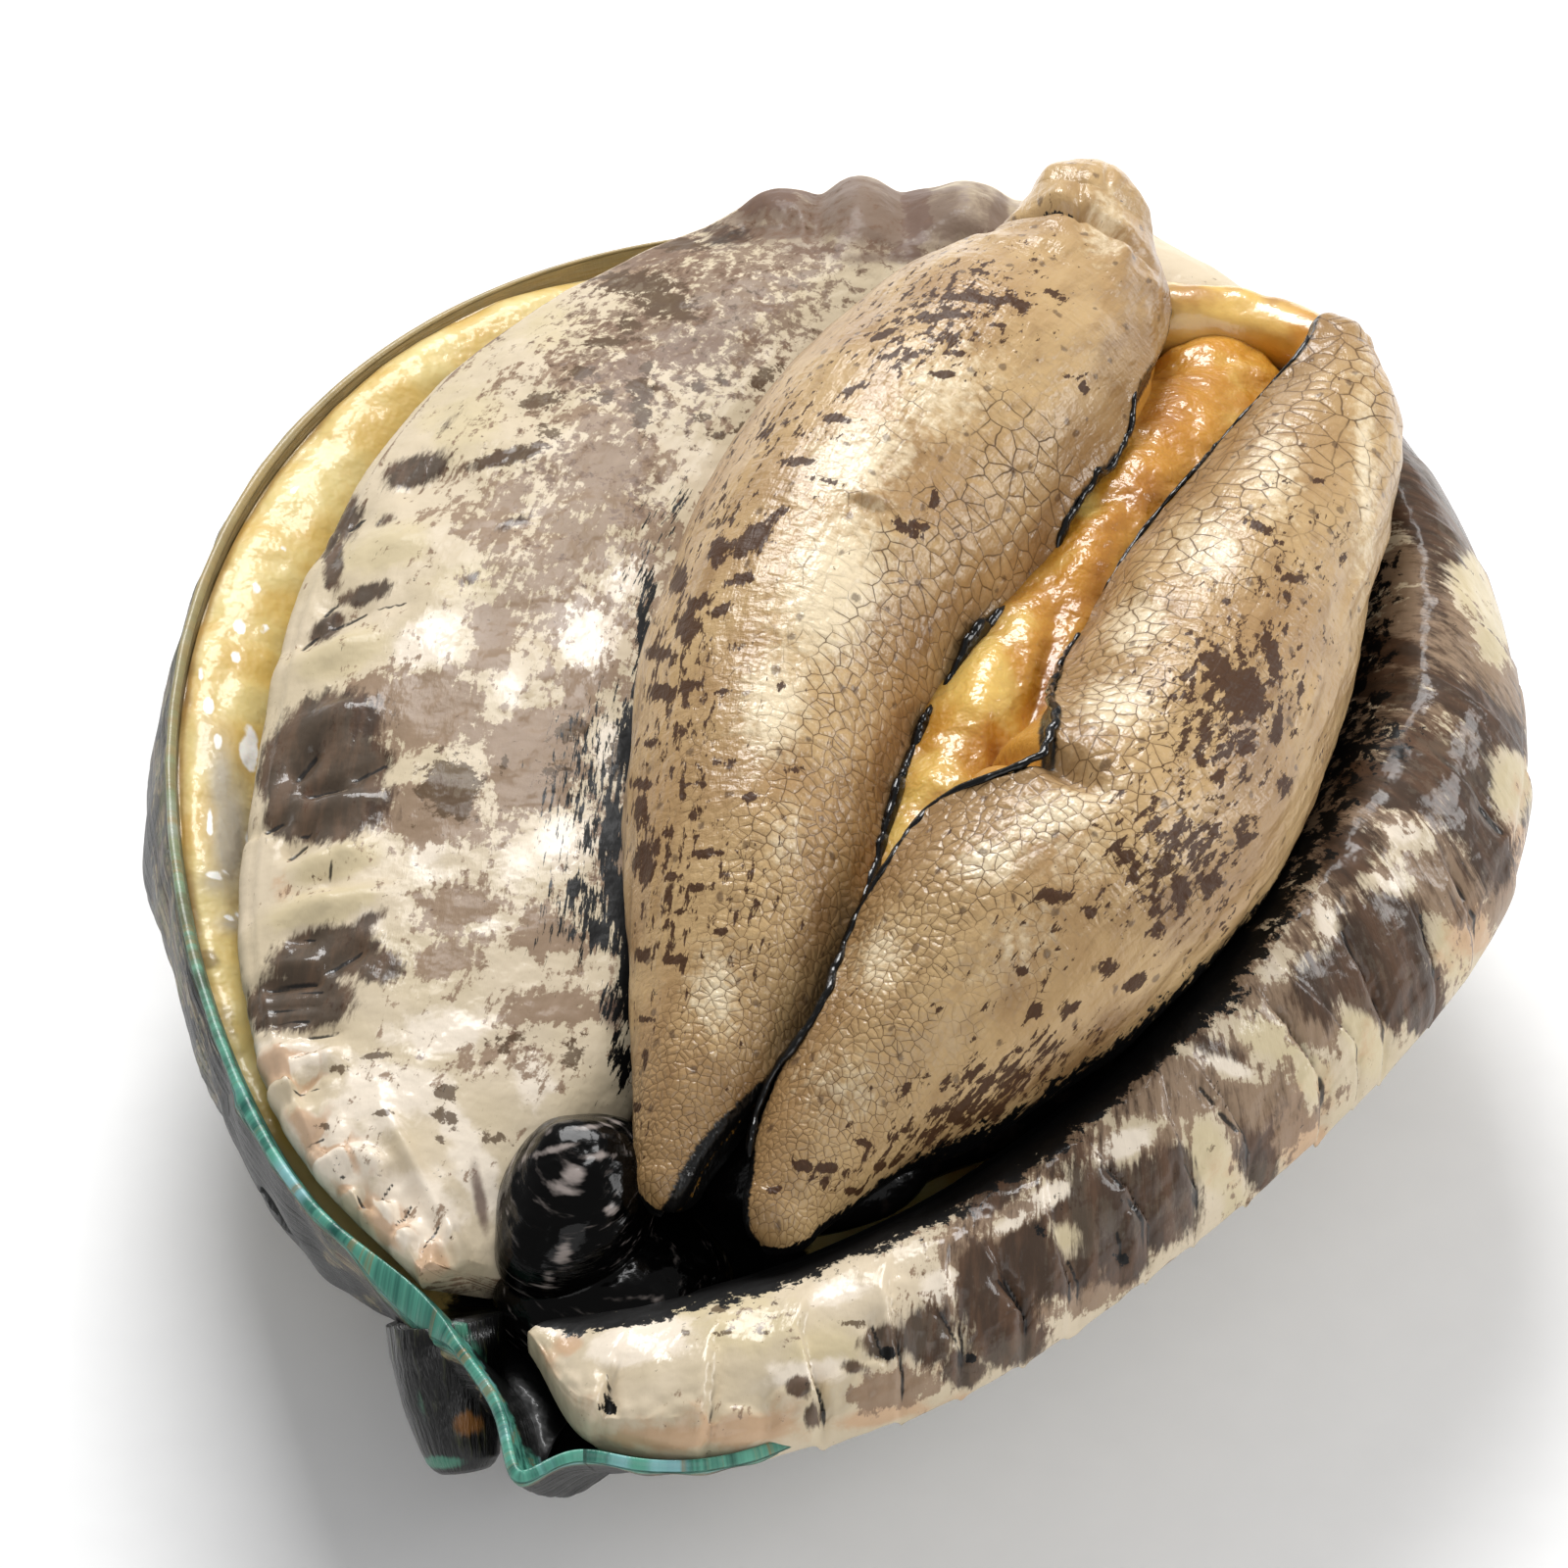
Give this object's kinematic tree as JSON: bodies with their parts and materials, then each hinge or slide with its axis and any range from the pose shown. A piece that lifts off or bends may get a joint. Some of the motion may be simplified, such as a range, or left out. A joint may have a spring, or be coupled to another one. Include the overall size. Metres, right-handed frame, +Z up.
{
  "type": "abalone in shell",
  "caption": "Raw abalone foot up in its ear-shaped shell: folded foot with bare sole, frilled skirt, yellow mantle and black head.",
  "frame": {"origin": "middle of the small flat spot under the shell's dome, on the surface it rests on", "axes": "+Z up out of the shell's open side, where the foot lies; +Y along the shell's length from the head to the rear; +X towards the side where the skirt hangs over the rim, with the breathing pores on the -X side"},
  "size_m": [0.0803, 0.1033, 0.0437],
  "materials": {
    "shell": "glossy nacre, blue-green at the rim, brown and green striped outside",
    "mantle": "wet soft flesh, pale yellow",
    "skirt": "wet flesh, cream mottled with taupe and brown-black",
    "foot": "wet flesh, tan with dark brown dashes and fine cracks",
    "sole": "wet lumpy flesh, yellow to orange",
    "head": "glossy black flesh"
  },
  "bodies": {
    "root": {"shell": "shell", "mantle": "mantle", "skirt": "skirt", "foot": "foot", "sole": "sole", "head": "head"}
  },
  "joints": []
}
